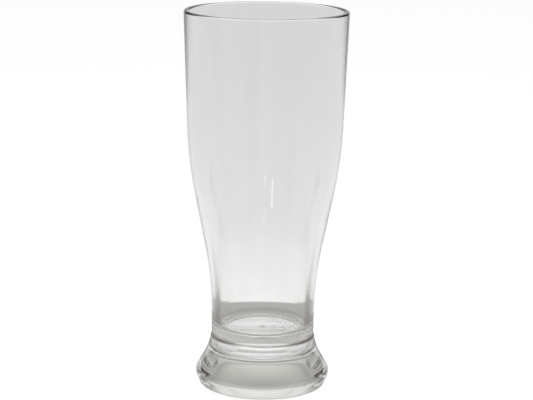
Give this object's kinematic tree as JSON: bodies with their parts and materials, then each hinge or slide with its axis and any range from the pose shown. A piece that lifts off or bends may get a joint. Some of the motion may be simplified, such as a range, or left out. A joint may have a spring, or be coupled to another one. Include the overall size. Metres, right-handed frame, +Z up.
{
  "type": "footed beer glass",
  "caption": "Tall clear footed beer glass: S-curved bowl with a thick floor, bonded on its flat base to a hollow flared foot that stands on a flat ring.",
  "frame": {"origin": "centre of the standing face, under the foot", "axes": "+Z up along the glass's axis of revolution, from the standing face to the rim; X and Y are equal"},
  "size_m": [0.08, 0.08, 0.1863],
  "materials": {
    "clear_bowl": "polished clear moulding, colourless, very faint flow lines along the wall",
    "clear_foot": "polished clear moulding, colourless, thick at the deck and thinner at the skirt",
    "clear_bond": "cured clear adhesive film"
  },
  "bodies": {
    "root": {"bowl": "clear_bowl", "foot": "clear_foot", "bond_ring": "clear_bond"}
  },
  "joints": []
}
